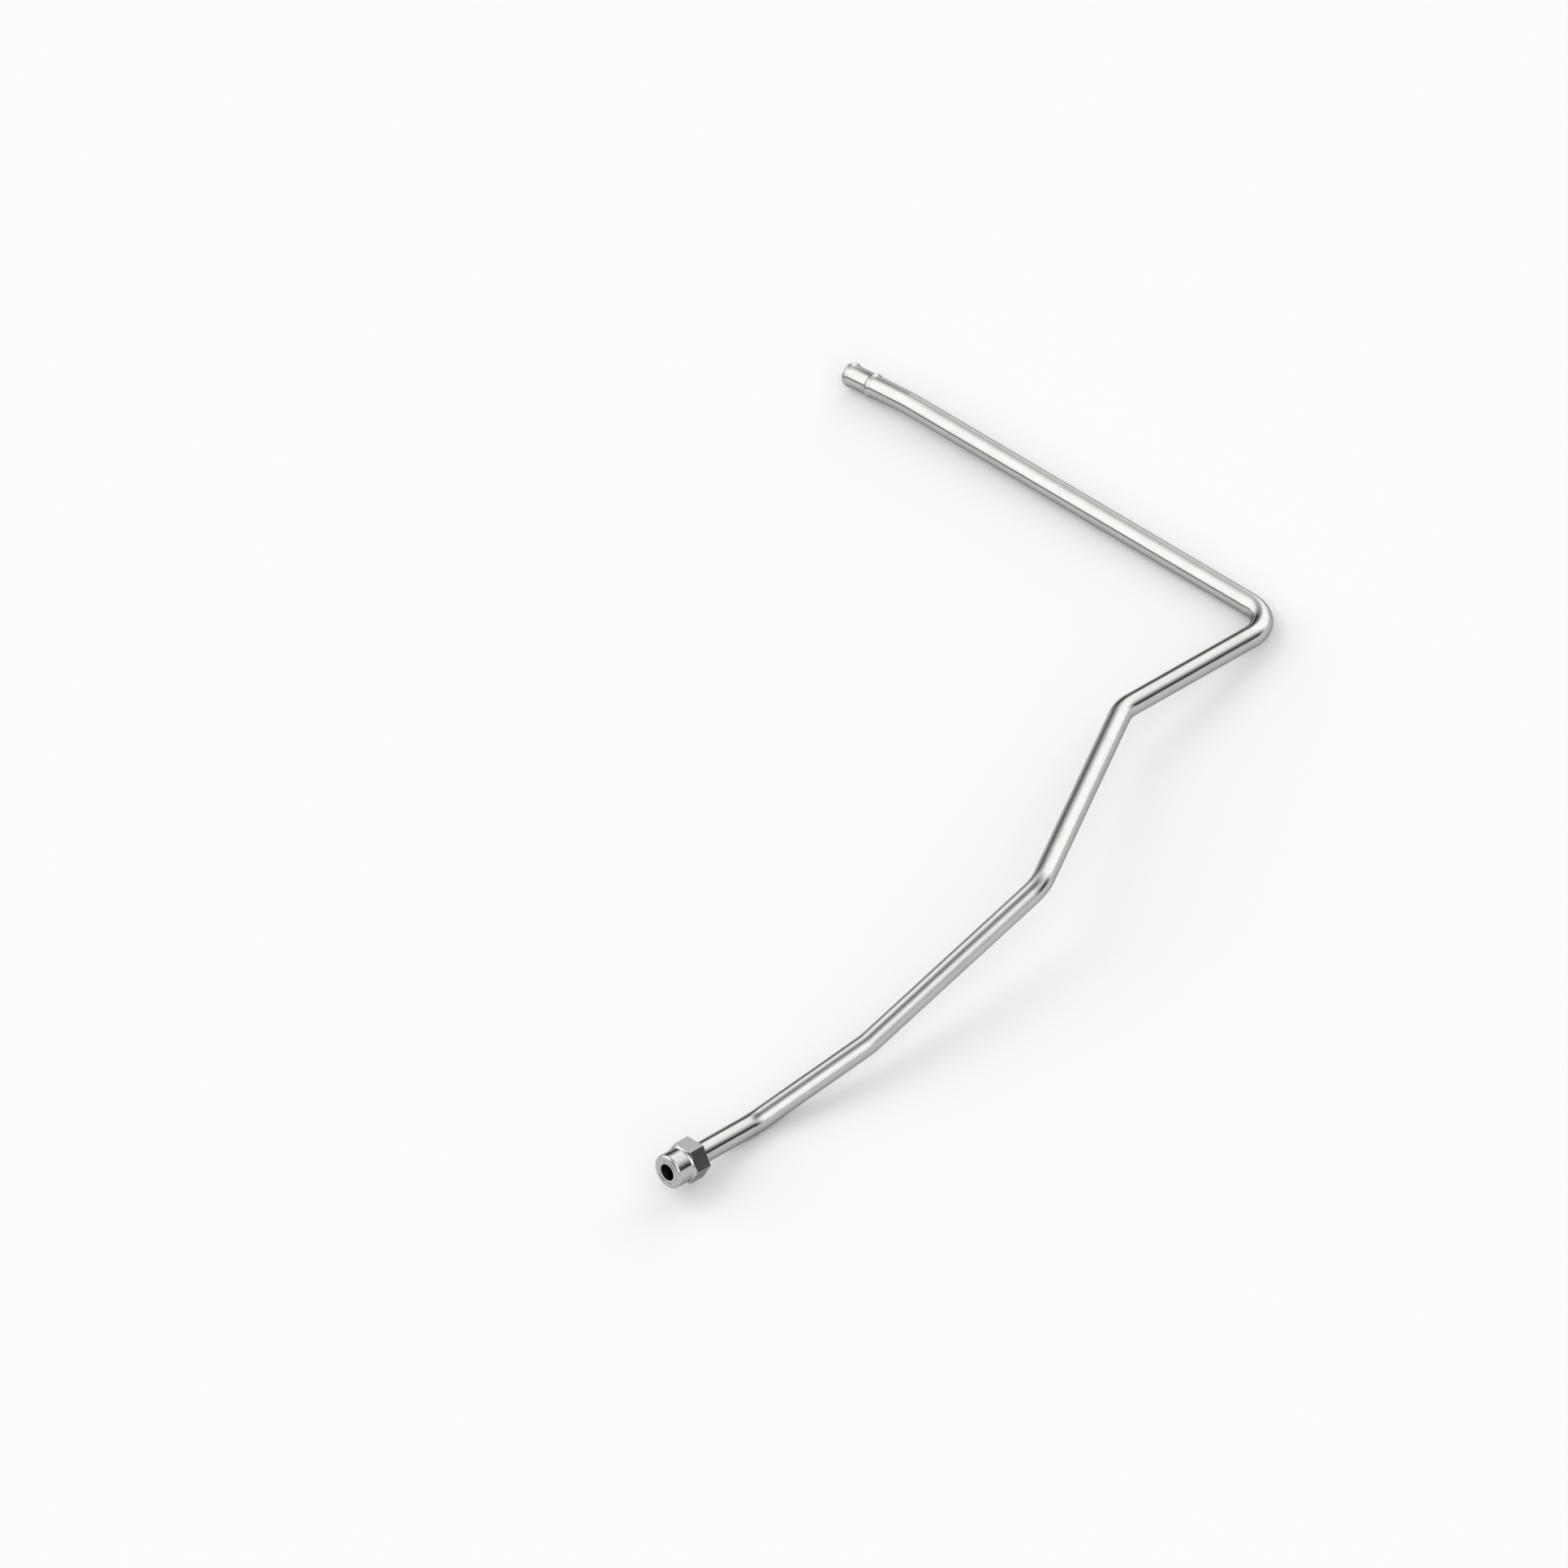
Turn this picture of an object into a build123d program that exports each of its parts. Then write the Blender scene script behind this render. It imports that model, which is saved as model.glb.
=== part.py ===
"""Coolant return line: a bent stainless tube with a beaded hose end and a turned face-seal connector.

Lengths are in millimetres, angles in degrees. The line lies at rest on the floor plane Z = 0, with its
origin at the middle of its bounding box's bottom. Its long run points nearly along +X, and the connector
faces -Y.
"""

import os
from math import cos, radians, sin, sqrt, tan

from build123d import *

# Tube
tube_od = 15.9
tube_wall = 1.25
bend_radius = 28.5

# Runs of the tube, each from one bend's corner point to the next, with the compass heading and the slope
# of that run while the long run is level and the big bend lies flat
hose_run = 59.1
hose_run_heading = 0.5
hose_run_slope = 3.85
long_run = 366.0
cross_run = 153.0
cross_run_heading = -90.0
drop_run = 196.0
drop_run_heading = -61.9
drop_run_slope = -5.7
steep_run = 168.4
steep_run_heading = -95.4
steep_run_slope = -23.3
low_run = 98.0
low_run_heading = -104.5
low_run_slope = -21.4
connector_run = 85.5
connector_run_heading = -90.0

# Turns about the long run and about the level cross axis that lay the line on the floor
lie_roll = -12.16
lie_pitch = 0.69

# Beads rolled into the hose end, with straight flanks that lean this far from the tube's axis
bead_height = 1.15
bead_crown_radius = 1.25
bead_crown_cuts = 4
bead_flank = 40.0
tip_to_first_bead = 2.5
bead_spacing = 21.1
bead_to_plain_tube = 6.0
tube_end_chamfer = 0.4

# Connector, with its roundings turned as a few short cuts each
bore = 12.6
face_ring = 17.2
face_ring_width = 1.2
face_ring_depth = 0.35
spigot_od = 25.4
spigot_length = 14.8
spigot_edge_radius = 2.0
neck_radius = 2.2
turned_cuts = 3
hex_across_flats = 27.0
hex_length = 13.0
socket_depth = 10.0
braze_gap = 0.05


def run_vector(length, heading, slope):
    """A run of the tube as a vector, before the line is laid down."""
    level = length * cos(radians(slope))
    rise = length * sin(radians(slope))
    return Vector(level * cos(radians(heading)), level * sin(radians(heading)), rise)


def route():
    """Corner points of the tube's centre line, from the hose tip to the connector's sealing face."""
    runs = [
        run_vector(hose_run, hose_run_heading, hose_run_slope),
        run_vector(long_run, 0, 0),
        run_vector(cross_run, cross_run_heading, 0),
        run_vector(drop_run, drop_run_heading, drop_run_slope),
        run_vector(steep_run, steep_run_heading, steep_run_slope),
        run_vector(low_run, low_run_heading, low_run_slope),
        run_vector(connector_run, connector_run_heading, 0),
    ]
    points = [Vector(0, 0, 0)]
    for run in runs:
        points.append(points[-1] + run.rotate(Axis.X, lie_roll).rotate(Axis.Y, lie_pitch))
    return points


def connector_plane(points):
    """Plane on the sealing face, with Z out of the connector and a flat of the hexagon facing up."""
    outward = (points[-1] - points[-2]).normalized()
    up = Vector(0, 0, 1).rotate(Axis.X, lie_roll).rotate(Axis.Y, lie_pitch)
    return Plane(origin=points[-1], x_dir=up.cross(outward), z_dir=outward)


def rounding(centre, radius, start, turn, cuts):
    """Points of a rounding that is made of short straight cuts."""
    angles = [radians(start + turn * step / cuts) for step in range(cuts + 1)]
    return [(centre[0] + radius * cos(angle), centre[1] + radius * sin(angle)) for angle in angles]


def hose_end(points):
    """The beaded end, spun from its wall section, with the wall's thickness kept along the beads' flanks."""
    outer_r = tube_od / 2
    inner_r = outer_r - tube_wall
    flank = radians(bead_flank)
    rise = bead_height + bead_crown_radius * (1 / cos(flank) - 1)
    reach = rise / tan(flank)
    crown_height = outer_r + bead_height - bead_crown_radius
    inner_peak = outer_r + rise - tube_wall / cos(flank)
    inner_reach = reach - tube_wall * tan(flank / 2)
    end = tip_to_first_bead + bead_spacing + bead_to_plain_tube
    outside = [(outer_r - tube_end_chamfer, 0), (outer_r, tube_end_chamfer)]
    inside = [(inner_r, 0)]
    for station in (tip_to_first_bead, tip_to_first_bead + bead_spacing):
        middle = (crown_height, station)
        crown = rounding(middle, bead_crown_radius, -bead_flank, 2 * bead_flank, bead_crown_cuts)
        outside += [(outer_r, station - reach), *crown, (outer_r, station + reach)]
        inside += [(inner_r, station - inner_reach), (inner_peak, station), (inner_r, station + inner_reach)]
    section = Polyline(*outside, (outer_r, end), (inner_r, end), *inside[::-1], close=True)
    spun = revolve(Plane.XZ * make_face(section), Axis.Z)
    return Plane(origin=points[0], z_dir=points[1] - points[0]) * spun


def bent_tube(points):
    """One tube: the beaded hose end, six bends on one former, and the end that sits in the connector."""
    hose_axis = (points[1] - points[0]).normalized()
    connector_axis = (points[-1] - points[-2]).normalized()
    start = points[0] + hose_axis * (tip_to_first_bead + bead_spacing + bead_to_plain_tube)
    finish = points[-1] - connector_axis * (spigot_length + hex_length - socket_depth)
    path = FilletPolyline(start, *points[1:-1], finish, radius=bend_radius)
    ring = Circle(tube_od / 2) - Circle(tube_od / 2 - tube_wall)
    plain = sweep(Plane(origin=start, z_dir=hose_axis) * ring, path=path)
    return hose_end(points) + plain


def connector(points):
    """Turned connector: spun in one profile, then milled to a hexagon behind the spigot."""
    length = spigot_length + hex_length
    shoulder = length - socket_depth
    bore_r = bore / 2
    spigot_r = spigot_od / 2
    socket_r = tube_od / 2 + braze_gap
    bar_r = hex_across_flats / sqrt(3)
    edge_middle = (spigot_r - spigot_edge_radius, -spigot_edge_radius)
    neck_middle = (spigot_r + neck_radius, neck_radius - spigot_length)
    profile = Polyline(
        (bore_r, 0),
        (face_ring / 2 - face_ring_width / 2, 0),
        (face_ring / 2, -face_ring_depth),
        (face_ring / 2 + face_ring_width / 2, 0),
        *rounding(edge_middle, spigot_edge_radius, 90, -90, turned_cuts),
        *rounding(neck_middle, neck_radius, 180, 90, turned_cuts),
        (bar_r, -spigot_length),
        (bar_r, -length),
        (socket_r, -length),
        (socket_r, -shoulder),
        (bore_r, -shoulder),
        close=True,
    )
    spun = revolve(Plane.XZ * make_face(profile), Axis.Z)
    hexagon = RegularPolygon(hex_across_flats / 2, 6, major_radius=False)
    bar = Pos(0, 0, -length) * extrude(hexagon, length)
    return connector_plane(points) * (spun & bar)


def to_floor(parts):
    """Shift that puts the origin at the middle of the bounding box's bottom."""
    boxes = [part.bounding_box() for part in parts.values()]
    middle_x = (min(box.min.X for box in boxes) + max(box.max.X for box in boxes)) / 2
    middle_y = (min(box.min.Y for box in boxes) + max(box.max.Y for box in boxes)) / 2
    return Pos(-middle_x, -middle_y, -min(box.min.Z for box in boxes))


def build():
    """The two pieces by name, laid on the floor."""
    points = route()
    parts = {"bent_tube": bent_tube(points), "face_seal_connector": connector(points)}
    shift = to_floor(parts)
    return {name: part.moved(shift) for name, part in parts.items()}


os.makedirs("parts", exist_ok=True)
for node, shape in build().items():
    export_step(shape, f"parts/{node}.step")
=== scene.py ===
"""Coolant return line, dressed: bright stainless steel in a pale studio with a ring of soft panels round it.

Lengths are in metres and directions in the row's frame, except where a name says level: that is the line as
the photograph shows it, with its long run level, before it is laid down on the floor.
"""

from math import ceil, cos, degrees, hypot, pi, radians, sin, sqrt, tan

import bmesh
import bpy
from mathutils import Matrix, Vector


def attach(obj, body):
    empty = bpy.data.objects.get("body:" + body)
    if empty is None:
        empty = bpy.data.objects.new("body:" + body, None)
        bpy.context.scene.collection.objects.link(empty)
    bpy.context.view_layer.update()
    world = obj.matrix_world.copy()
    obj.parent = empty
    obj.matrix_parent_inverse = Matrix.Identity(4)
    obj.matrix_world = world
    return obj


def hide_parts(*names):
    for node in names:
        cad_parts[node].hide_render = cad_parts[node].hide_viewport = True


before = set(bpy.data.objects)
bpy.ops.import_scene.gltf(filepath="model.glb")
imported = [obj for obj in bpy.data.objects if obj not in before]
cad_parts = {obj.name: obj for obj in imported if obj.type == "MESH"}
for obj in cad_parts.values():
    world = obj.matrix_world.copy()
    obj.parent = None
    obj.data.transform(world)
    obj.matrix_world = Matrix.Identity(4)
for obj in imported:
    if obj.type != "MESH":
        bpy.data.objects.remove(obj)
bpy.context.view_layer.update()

MM = 0.001

# The line's route while its long run is level: each run's length, heading from +X toward +Y, and slope
RUNS = [
    (59.1 * MM, 0.5, 3.85),
    (366.0 * MM, 0.0, 0.0),
    (153.0 * MM, -90.0, 0.0),
    (196.0 * MM, -61.9, -5.7),
    (168.4 * MM, -95.4, -23.3),
    (98.0 * MM, -104.5, -21.4),
    (85.5 * MM, -90.0, 0.0),
]
BIG_BEND = 2   # the corner after the first two runs

# How the line is laid down from there until it rests on the floor, and where its hose tip then is
LIE_ROLL = radians(-12.16)
LIE_PITCH = radians(0.69)
LIE = Matrix.Rotation(LIE_PITCH, 3, "Y") @ Matrix.Rotation(LIE_ROLL, 3, "X")
HOSE_TIP = Vector((-262.118, 327.579, 8.964)) * MM

# The photograph: its side in pixels, one pixel's length on the part, where it shows the big bend's corner,
# and how far it is turned in its own plane
PHOTO_SIDE = 1932
PIXEL = 0.566 * MM
BIG_BEND_PIXEL = (1575.55, 765.41)
PHOTO_ROLL = radians(0.51)
CAMERA_DISTANCE = 2.0

# The tube, its rounded lip and its beads, which are placed by their distance from the tip
TUBE_RADIUS = 7.95 * MM
WALL = 1.25 * MM
BEND_RADIUS = 28.5 * MM
BEND_STEP = radians(2)
AROUND = 96
LIP = 0.35 * MM
LIP_STEPS = 5
INNER_LIP_STEPS = 3
BEADS = (2.5 * MM, 23.6 * MM)
BEAD_HEIGHT = 1.15 * MM
CROWN_RADIUS = 1.25 * MM
CROWN_RADIUS_LEAST = 0.05 * MM
CROWN_STEPS = 10
FOOT_RADIUS = 0.7 * MM
FOOT_STEPS = 4
FLANK = radians(40)
PLAIN_FROM = 29.6 * MM   # past this the tube has no bead

# The connector: radii, and distances counted back from its sealing face
BORE = 6.3 * MM
RING = 8.6 * MM
RING_HALF = 0.9 * MM
RING_DEPTH = 0.32 * MM
RING_STEPS = 10
SPIGOT = 12.7 * MM
SPIGOT_LENGTH = 14.8 * MM
SPIGOT_EDGE = 2.0 * MM
SPIGOT_EDGE_STEPS = 12
NECK = 2.2 * MM
NECK_STEPS = 10
HEX_HALF = 13.5 * MM
HEX_LENGTH = 13.0 * MM
HEX_TURN = 60   # degrees from one flat to the next
HEX_CORNER = 0.15 * MM
HEX_CORNER_PARTS = 4
FLAT_SHARES = (-1, -0.97, -0.9, -0.7, -0.5, -0.3, -0.1, 0.1, 0.3, 0.5, 0.7, 0.9, 0.97, 1)
EDGE_BREAK = 0.12 * MM
EDGE_STEPS = 3
SOCKET = 8.0 * MM
SOCKET_DEPTH = 10.0 * MM
BRAZE = 0.55 * MM
BRAZE_STEPS = 6

# Both meshes: points nearer than this are one, shorter edges than this go, and edges sharper than this show
WELD = 0.002 * MM
SPECK = 0.001 * MM
SHARP = radians(50)

# The steel: its colour, its tint toward grazing views, its roughness, and the fine grain that spreads the
# roughness and stands up a little
STEEL = (0.5, 0.496, 0.487)
EDGE_TINT = (0.5, 0.5, 0.5, 1)
ROUGHNESS = 0.17
TUBE_GRAIN = (900.0, 900.0, 12.0)
TUBE_SPREAD = 1.3
CONNECTOR_GRAIN = (2500.0, 2500.0, 2500.0)
CONNECTOR_SPREAD = 1.05
FLAT_GRAIN = 0.02   # the flats' grain runs along the hexagon, so it changes slowly that way
GRAIN_DETAIL = 4.0
GRAIN_RANGE = (0.3, 0.7)
GRAIN_STRENGTH = 0.04
GRAIN_HEIGHT = 0.02 * MM

# Its slow changes of tone, and the sockets of the mix node that hold colours
TONE_SCALE = 90.0
TONE_DETAIL = 2.0
TONE_RANGE = (0.35, 0.65)
TONES = (0.97, 1.03)
MIX_FIRST, MIX_SECOND, MIX_RESULT = 6, 7, 2

# The studio, as levels of light by direction: a ring of soft panels, darker overhead and below. Each pair is
# the elevations in degrees where a change starts and ends
LIGHT_COLOUR = (1.0, 0.993, 0.98, 1)
RING_LIGHT = 1.92
RING_TOP = (45.0, 84.5)
ZENITH_LIGHT = 0.31
RING_FOOT = (-1.0, 7.0)
BELOW_LIGHT = 0.22

# The gaps between the panels, each as (heading, fade before it, fade after it). A gap is darkest across its
# core, weakens from the first depth to the second higher up, and closes overhead
GAPS = [(37.0, 59.0, 42.0), (149.0, 28.0, 36.0), (-90.0, 36.0, 36.0)]
GAP_CORE = 7.0
GAP_WEAKER = (18.0, 54.0)
GAP_DEPTHS = (0.985, 0.36)
GAP_CLOSED = (60.0, 85.0)
HALF_TURN = 180.0

# The floor, and the level seen from under it, by the direction's height there
FLOOR_SIZE = 60.0
FLOOR_COLOUR = (0.805, 0.811, 0.82, 1)
FLOOR_ROUGHNESS = 0.9
UNDER_FLOOR = (-0.02, -0.005)
UNDER_FLOOR_LIGHT = 0.985


def route():
    """Corner points of the tube's centre line, from the hose tip to the sealing face."""
    points = [HOSE_TIP]
    for length, heading, slope in RUNS:
        heading = radians(heading)
        slope = radians(slope)
        level = length * cos(slope)
        run = Vector((level * cos(heading), level * sin(heading), length * sin(slope)))
        points.append(points[-1] + LIE @ run)
    return points


def add_camera(corners):
    """The photograph's isometric view, carried along with the line as it is laid down."""
    toward = Vector((1, -1, 1)).normalized()
    right = Vector((1, 1, 0)).normalized()
    up = toward.cross(right)
    level = Matrix((right, up, toward)).transposed() @ Matrix.Rotation(PHOTO_ROLL, 3, "Z")
    turn = LIE @ level
    middle = PHOTO_SIDE / 2
    across = (middle - BIG_BEND_PIXEL[0]) * PIXEL
    above = (BIG_BEND_PIXEL[1] - middle) * PIXEL
    data = bpy.data.cameras.new("photo_camera")
    data.type = "ORTHO"
    data.ortho_scale = PHOTO_SIDE * PIXEL
    data.clip_end = FLOOR_SIZE
    camera = bpy.data.objects.new("photo_camera", data)
    place = corners[BIG_BEND] + turn @ Vector((across, above, CAMERA_DISTANCE))
    camera.matrix_world = Matrix.Translation(place) @ turn.to_4x4()
    bpy.context.scene.collection.objects.link(camera)
    bpy.context.scene.camera = camera


class Nodes:
    """Short calls for making and wiring a node tree."""

    def __init__(self, tree):
        self.tree = tree

    def add(self, kind, **settings):
        node = self.tree.nodes.new(kind)
        for name, value in settings.items():
            setattr(node, name, value)
        return node

    def put(self, socket, value):
        """Wire an output into a socket, or set the socket to a plain value."""
        if hasattr(value, "is_output"):
            self.tree.links.new(value, socket)
        else:
            socket.default_value = value

    def math(self, operation, *values):
        node = self.add("ShaderNodeMath", operation=operation)
        for socket, value in zip(node.inputs, values):
            self.put(socket, value)
        return node.outputs[0]

    def ramp(self, kind, value, start, end, at_start, at_end):
        node = self.add("ShaderNodeMapRange", interpolation_type=kind)
        names = ("Value", "From Min", "From Max", "To Min", "To Max")
        for name, number in zip(names, (value, start, end, at_start, at_end)):
            self.put(node.inputs[name], number)
        return node.outputs["Result"]

    def fade(self, value, start, end, at_start, at_end):
        """A smooth step from one level to another between two values."""
        return self.ramp("SMOOTHSTEP", value, start, end, at_start, at_end)

    def span(self, value, start, end, at_start, at_end):
        """A straight change from one level to another between two values."""
        return self.ramp("LINEAR", value, start, end, at_start, at_end)

    def blend(self, first, second, share):
        """The first level, or the second where the share is 1."""
        node = self.add("ShaderNodeMix", data_type="FLOAT")
        for name, value in (("Factor", share), ("A", first), ("B", second)):
            self.put(node.inputs[name], value)
        return node.outputs["Result"]

    def mapped(self, place, setting, value):
        """A place turned by a Rotation or stretched by a Scale."""
        node = self.add("ShaderNodeMapping", vector_type="POINT")
        node.inputs[setting].default_value = value
        self.put(node.inputs["Vector"], place)
        return node.outputs[0]

    def axes(self, place):
        node = self.add("ShaderNodeSeparateXYZ")
        self.put(node.inputs[0], place)
        return node.outputs

    def noise(self, place, scale, detail):
        node = self.add("ShaderNodeTexNoise")
        node.inputs["Scale"].default_value = scale
        node.inputs["Detail"].default_value = detail
        self.put(node.inputs["Vector"], place)
        return node.outputs["Fac"]


def gap_cover(make, azimuth, centre, before, after):
    """How much of a gap covers a direction: 1 in its core, 0 past its fades."""
    turned = make.math("WRAP", make.math("SUBTRACT", azimuth, centre), HALF_TURN, -HALF_TURN)
    late = make.fade(turned, GAP_CORE, after, 1.0, 0.0)
    early = make.fade(turned, -before, -GAP_CORE, 0.0, 1.0)
    return make.math("MULTIPLY", late, early)


def add_world():
    """Light by direction in the level frame, from the panels, the gaps between them and the ceiling."""
    world = bpy.data.worlds.new("studio")
    bpy.context.scene.world = world
    world.use_nodes = True
    world.cycles.sampling_method = "NONE"   # so broad a light is found without a map of it, in half the time
    world.node_tree.nodes.clear()
    make = Nodes(world.node_tree)
    place = make.add("ShaderNodeTexCoord").outputs["Generated"]
    level = make.axes(make.mapped(place, "Rotation", LIE.inverted().to_euler("XYZ")))
    azimuth = make.math("DEGREES", make.math("ARCTAN2", level["Y"], level["X"]))
    elevation = make.math("DEGREES", make.math("ARCSINE", level["Z"]))
    light = make.fade(elevation, *RING_TOP, RING_LIGHT, ZENITH_LIGHT)
    depth = make.fade(elevation, *GAP_WEAKER, *GAP_DEPTHS)
    depth = make.math("MULTIPLY", depth, make.fade(elevation, *GAP_CLOSED, 1.0, 0.0))
    for gap in GAPS:
        shade = make.math("MULTIPLY", gap_cover(make, azimuth, *gap), depth)
        light = make.math("MULTIPLY", light, make.math("SUBTRACT", 1.0, shade))
    light = make.blend(light, BELOW_LIGHT, make.fade(elevation, *RING_FOOT, 1.0, 0.0))
    under = make.fade(make.axes(place)["Z"], *UNDER_FLOOR, 1.0, 0.0)
    background = make.add("ShaderNodeBackground")
    background.inputs["Color"].default_value = LIGHT_COLOUR
    make.put(background.inputs["Strength"], make.blend(light, UNDER_FLOOR_LIGHT, under))
    output = make.add("ShaderNodeOutputWorld")
    make.put(output.inputs["Surface"], background.outputs[0])


def add_floor():
    """A plain pale floor that runs past the view on every side."""
    bpy.ops.mesh.primitive_plane_add(size=FLOOR_SIZE)
    floor = bpy.context.object
    floor.name = "floor"
    material = bpy.data.materials.new("floor")
    material.use_nodes = True
    shader = material.node_tree.nodes["Principled BSDF"]
    shader.inputs["Base Color"].default_value = FLOOR_COLOUR
    shader.inputs["Roughness"].default_value = FLOOR_ROUGHNESS
    shader.inputs["Specular IOR Level"].default_value = 0.0
    floor.data.materials.append(material)


def steel(name, grain, spread):
    """Bright stainless: a fine grain in its roughness and height, and small slow changes of tone."""
    material = bpy.data.materials.new(name)
    material.use_nodes = True
    make = Nodes(material.node_tree)
    shader = material.node_tree.nodes["Principled BSDF"]
    shader.inputs["Metallic"].default_value = 1.0
    shader.inputs["Specular Tint"].default_value = EDGE_TINT
    place = make.add("ShaderNodeAttribute", attribute_name="grain").outputs["Vector"]
    fine = make.noise(make.mapped(place, "Scale", grain), 1.0, GRAIN_DETAIL)
    slow = make.noise(place, TONE_SCALE, TONE_DETAIL)
    roughness = make.span(fine, *GRAIN_RANGE, ROUGHNESS / spread, ROUGHNESS * spread)
    make.put(shader.inputs["Roughness"], roughness)
    tone = make.add("ShaderNodeMix", data_type="RGBA")
    make.put(tone.inputs["Factor"], make.span(slow, *TONE_RANGE, 0.0, 1.0))
    for socket, share in zip((MIX_FIRST, MIX_SECOND), TONES):
        tone.inputs[socket].default_value = (*[share * level for level in STEEL], 1)
    make.put(shader.inputs["Base Color"], tone.outputs[MIX_RESULT])
    bump = make.add("ShaderNodeBump")
    bump.inputs["Strength"].default_value = GRAIN_STRENGTH
    bump.inputs["Distance"].default_value = GRAIN_HEIGHT
    make.put(bump.inputs["Height"], fine)
    make.put(shader.inputs["Normal"], bump.outputs[0])
    return material


def grid_mesh(name, rows, grain):
    """A mesh from rows of points, closed both ways round, with each point's place in the grain kept."""
    wide = len(rows[0])
    faces = []
    for row in range(len(rows)):
        here = row * wide
        after = (row + 1) % len(rows) * wide
        for column in range(wide):
            onward = (column + 1) % wide
            faces.append((here + column, here + onward, after + onward, after + column))
    mesh = bpy.data.meshes.new(name)
    mesh.from_pydata([point for row in rows for point in row], [], faces)
    values = [number for row in grain for point in row for number in point]
    mesh.attributes.new("grain", "FLOAT_VECTOR", "POINT").data.foreach_set("vector", values)
    return mesh


def add_piece(mesh, node, slot, grain, spread):
    """Weld, turn the faces outward, sharpen the real edges, and stand the piece in for its CAD node."""
    work = bmesh.new()
    work.from_mesh(mesh)
    bmesh.ops.remove_doubles(work, verts=work.verts, dist=WELD)
    bmesh.ops.dissolve_degenerate(work, edges=work.edges, dist=SPECK)
    bmesh.ops.recalc_face_normals(work, faces=work.faces)
    work.to_mesh(mesh)
    work.free()
    mesh.shade_smooth()
    mesh.set_sharp_from_angle(angle=SHARP)
    mesh.materials.append(steel(slot, grain, spread))
    piece = bpy.data.objects.new(mesh.name, mesh)
    bpy.context.scene.collection.objects.link(piece)
    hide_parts(node)
    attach(piece, "root")


def arc(centre, radius, start, turn, steps):
    """Points of an arc in a section, as (radius from the axis, distance along it). Angles are in degrees."""
    angles = [radians(start + turn * step / steps) for step in range(steps + 1)]
    return [(centre[0] + radius * cos(angle), centre[1] + radius * sin(angle)) for angle in angles]


def bead(station, depth):
    """A bead's line at some depth in the wall: a rounded foot, a flank, the crown, a flank, a foot."""
    rise = BEAD_HEIGHT + CROWN_RADIUS * (1 / cos(FLANK) - 1)
    reach = rise / tan(FLANK) + FOOT_RADIUS * tan(FLANK / 2)
    flank = degrees(FLANK)
    foot = TUBE_RADIUS + FOOT_RADIUS
    crown = TUBE_RADIUS + BEAD_HEIGHT - CROWN_RADIUS
    crown_radius = max(CROWN_RADIUS - depth, CROWN_RADIUS_LEAST)
    near = arc((foot, station - reach), FOOT_RADIUS + depth, 180, -flank, FOOT_STEPS)
    top = arc((crown, station), crown_radius, -flank, 2 * flank, CROWN_STEPS)
    far = arc((foot, station + reach), FOOT_RADIUS + depth, 180 + flank, -flank, FOOT_STEPS)
    return near + top + far


def bends(corners):
    """The rings' places past the beads, each as (distance from the tip, middle, frame), without twist."""
    here = corners[0]
    into = (corners[1] - here).normalized()
    side = into.cross(Vector((0, 0, 1))).normalized()
    turned = Matrix((side, into.cross(side), into)).transposed()
    places = [(PLAIN_FROM, here + into * PLAIN_FROM, turned.copy())]
    along = 0.0
    for corner, after in zip(corners[1:], corners[2:]):
        into = (corner - here).normalized()
        onward = (after - corner).normalized()
        angle = into.angle(onward)
        axis = into.cross(onward).normalized()
        start = corner - into * BEND_RADIUS * tan(angle / 2)
        centre = start + axis.cross(into) * BEND_RADIUS
        along += (start - here).length
        steps = ceil(angle / BEND_STEP)
        for step in range(steps + 1):
            part = angle * step / steps
            spin = Matrix.Rotation(part, 3, axis)
            places.append((along + BEND_RADIUS * part, centre + spin @ (start - centre), spin @ turned))
        turned = Matrix.Rotation(angle, 3, axis) @ turned
        here = corner + onward * BEND_RADIUS * tan(angle / 2)
        along += BEND_RADIUS * angle
    end = corners[-1] - onward * (SPIGOT_LENGTH + HEX_LENGTH - SOCKET_DEPTH)
    places.append((along + (end - here).length, end, turned.copy()))
    return places


def tube_rings(corners):
    """All rings of the tube: its outer face from the far end to the tip, the lip, and its inner face back."""
    places = bends(corners)
    tip = corners[0]
    level = places[0][2]
    into = level @ Vector((0, 0, 1))
    inner = TUBE_RADIUS - WALL
    outside = arc((TUBE_RADIUS - LIP, LIP), LIP, -90, 90, LIP_STEPS)
    inside = arc((inner + LIP / 2, LIP / 2), LIP / 2, 180, 90, INNER_LIP_STEPS)[::-1]
    for station in BEADS:
        outside += bead(station, 0.0)
        inside += bead(station, WALL)
    rings = [(along, middle, turned, TUBE_RADIUS) for along, middle, turned in places[::-1]]
    rings += [(along, tip + into * along, level, radius) for radius, along in outside[::-1] + inside]
    rings += [(along, middle, turned, inner) for along, middle, turned in places]
    return rings


def add_tube(corners):
    """The bent tube with its beads and rounded lip."""
    angles = [2 * pi * step / AROUND for step in range(AROUND)]
    rows = []
    grain = []
    for along, middle, turned, radius in tube_rings(corners):
        ring = [(radius * cos(angle), radius * sin(angle)) for angle in angles]
        rows.append([middle + turned @ Vector((across, up, 0)) for across, up in ring])
        grain.append([(across, up, along) for across, up in ring])
    mesh = grid_mesh("drawn_tube", rows, grain)
    add_piece(mesh, "bent_tube", "tube_steel", TUBE_GRAIN, TUBE_SPREAD)


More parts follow.
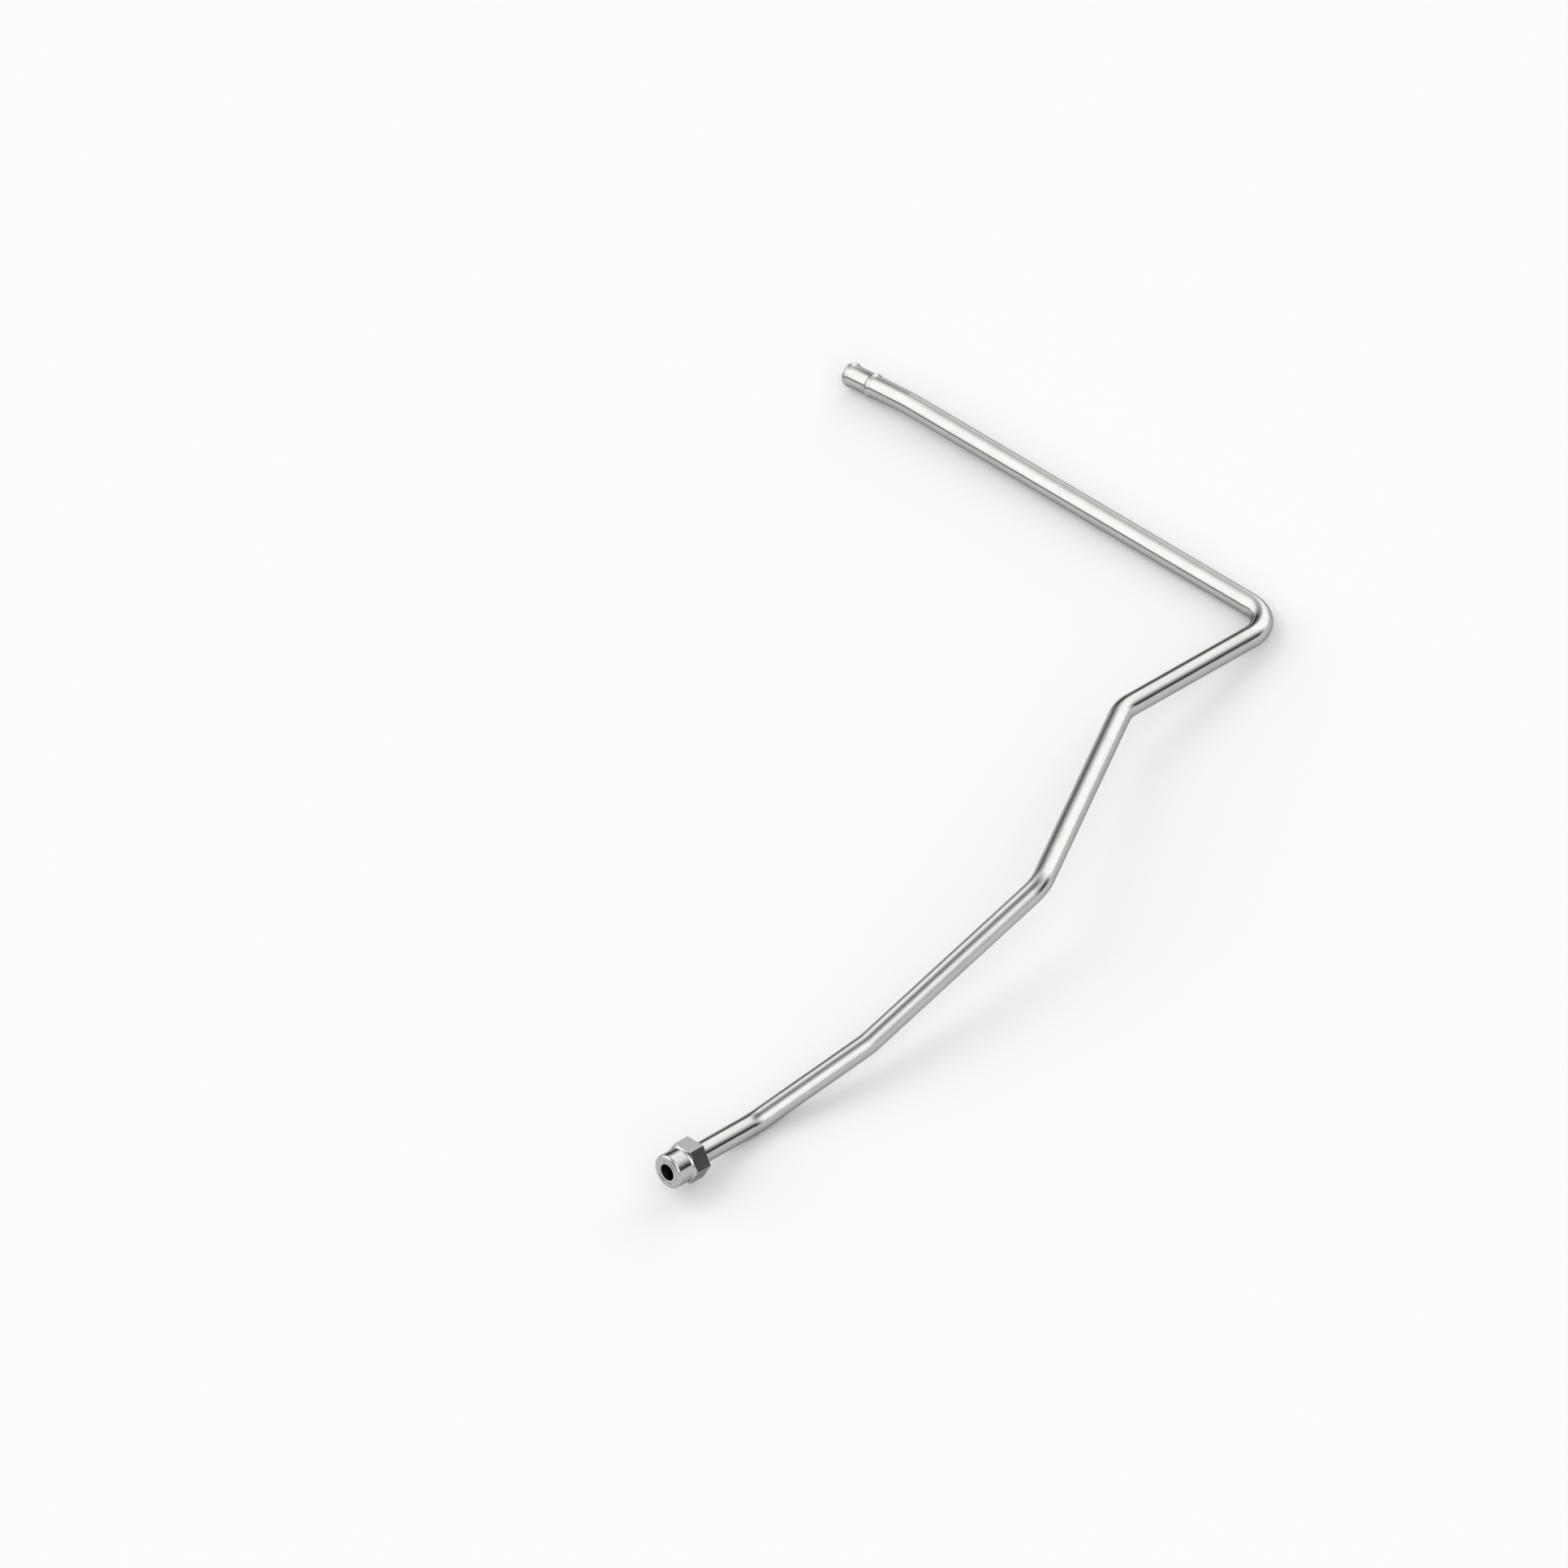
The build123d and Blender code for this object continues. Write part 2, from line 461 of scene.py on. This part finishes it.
def hexagon():
    """The hexagon's outline, a flat facing up, each point as (point, its distance across its flat)."""
    inner = HEX_HALF - HEX_CORNER
    half = inner / sqrt(3)
    outline = []
    for flat in range(360 // HEX_TURN):
        facing = radians(HEX_TURN * flat - 90)
        out = Vector((cos(facing), sin(facing)))
        across = Vector((-out.y, out.x))
        for share in FLAT_SHARES:
            outline.append((out * HEX_HALF + across * half * share, half * share))
        corner = out * inner + across * half
        for step in range(1, HEX_CORNER_PARTS):
            turn = facing + radians(HEX_TURN * step / HEX_CORNER_PARTS)
            outline.append((corner + Vector((cos(turn), sin(turn))) * HEX_CORNER, half))
    return outline


def neck_back(radius):
    """How far back the neck's rounding, or the hexagon's front face past it, is at a radius."""
    drop = SPIGOT + NECK - radius
    if drop <= 0:
        return SPIGOT_LENGTH
    return SPIGOT_LENGTH - NECK + sqrt(NECK ** 2 - drop ** 2)


def turned_line():
    """The connector's section from its inner shoulder to its neck, as (radius, distance back)."""
    line = [(BORE, SPIGOT_LENGTH + HEX_LENGTH - SOCKET_DEPTH)]
    line += arc((BORE + EDGE_BREAK, EDGE_BREAK), EDGE_BREAK, 180, 90, EDGE_STEPS)
    for step in range(RING_STEPS + 1):
        share = 2 * step / RING_STEPS - 1
        line.append((RING + RING_HALF * share, RING_DEPTH * 0.5 * (1 + cos(pi * share))))
    line += arc((SPIGOT - SPIGOT_EDGE, SPIGOT_EDGE), SPIGOT_EDGE, -90, 90, SPIGOT_EDGE_STEPS)
    line.append((SPIGOT, SPIGOT_LENGTH - NECK))
    return line


def milled_lines(edge):
    """The rest of the section where the hexagon's outline is at a radius: neck, flat and rear."""
    back = SPIGOT_LENGTH + HEX_LENGTH
    rim = edge - EDGE_BREAK
    bend = min(rim, SPIGOT + NECK)
    front = neck_back(rim) + EDGE_BREAK
    radii = [SPIGOT + (bend - SPIGOT) * (step / NECK_STEPS) ** 2 for step in range(1, NECK_STEPS + 1)]
    neck = [(radius, neck_back(radius)) for radius in radii + [rim]] + [(edge, front)]
    flat = [(edge, front + EDGE_BREAK), (edge, back - 2 * EDGE_BREAK), (edge, back - EDGE_BREAK)]
    rear = [(rim, back), (rim - EDGE_BREAK, back), (SOCKET + BRAZE, back)]
    rear += arc((SOCKET + BRAZE, back + BRAZE), BRAZE, -90, -90, BRAZE_STEPS)[1:]
    rear.append((SOCKET, back - SOCKET_DEPTH))
    return neck, flat, rear


def add_connector(corners):
    """The turned connector with its ring, roundings, hexagon and braze fillet."""
    outward = (corners[-1] - corners[-2]).normalized()
    up = LIE @ Vector((0, 0, 1))
    placing = Matrix((up.cross(outward), up, outward)).transposed()
    shared = turned_line()
    columns = []
    grains = []
    for point, across in hexagon():
        radius = point.length
        facing = point / radius
        neck, flat, rear = milled_lines(radius)
        flat_from = len(shared) + len(neck)
        column = []
        grain = []
        length = 0.0
        before = shared[0]
        for place, (out, back) in enumerate(shared + neck + flat + rear):
            length += hypot(out - before[0], back - before[1])
            before = (out, back)
            column.append(corners[-1] + placing @ Vector((facing.x * out, facing.y * out, -back)))
            on_flat = flat_from <= place < flat_from + len(flat)
            grain.append((across, 0.0, back * FLAT_GRAIN) if on_flat else (0.0, 0.0, length))
        columns.append(column)
        grains.append(grain)
    mesh = grid_mesh("turned_connector", list(zip(*columns)), list(zip(*grains)))
    add_piece(mesh, "face_seal_connector", "connector_steel", CONNECTOR_GRAIN, CONNECTOR_SPREAD)


bpy.context.scene.view_settings.view_transform = "Standard"
corners = route()
add_camera(corners)
add_world()
add_floor()
add_tube(corners)
add_connector(corners)
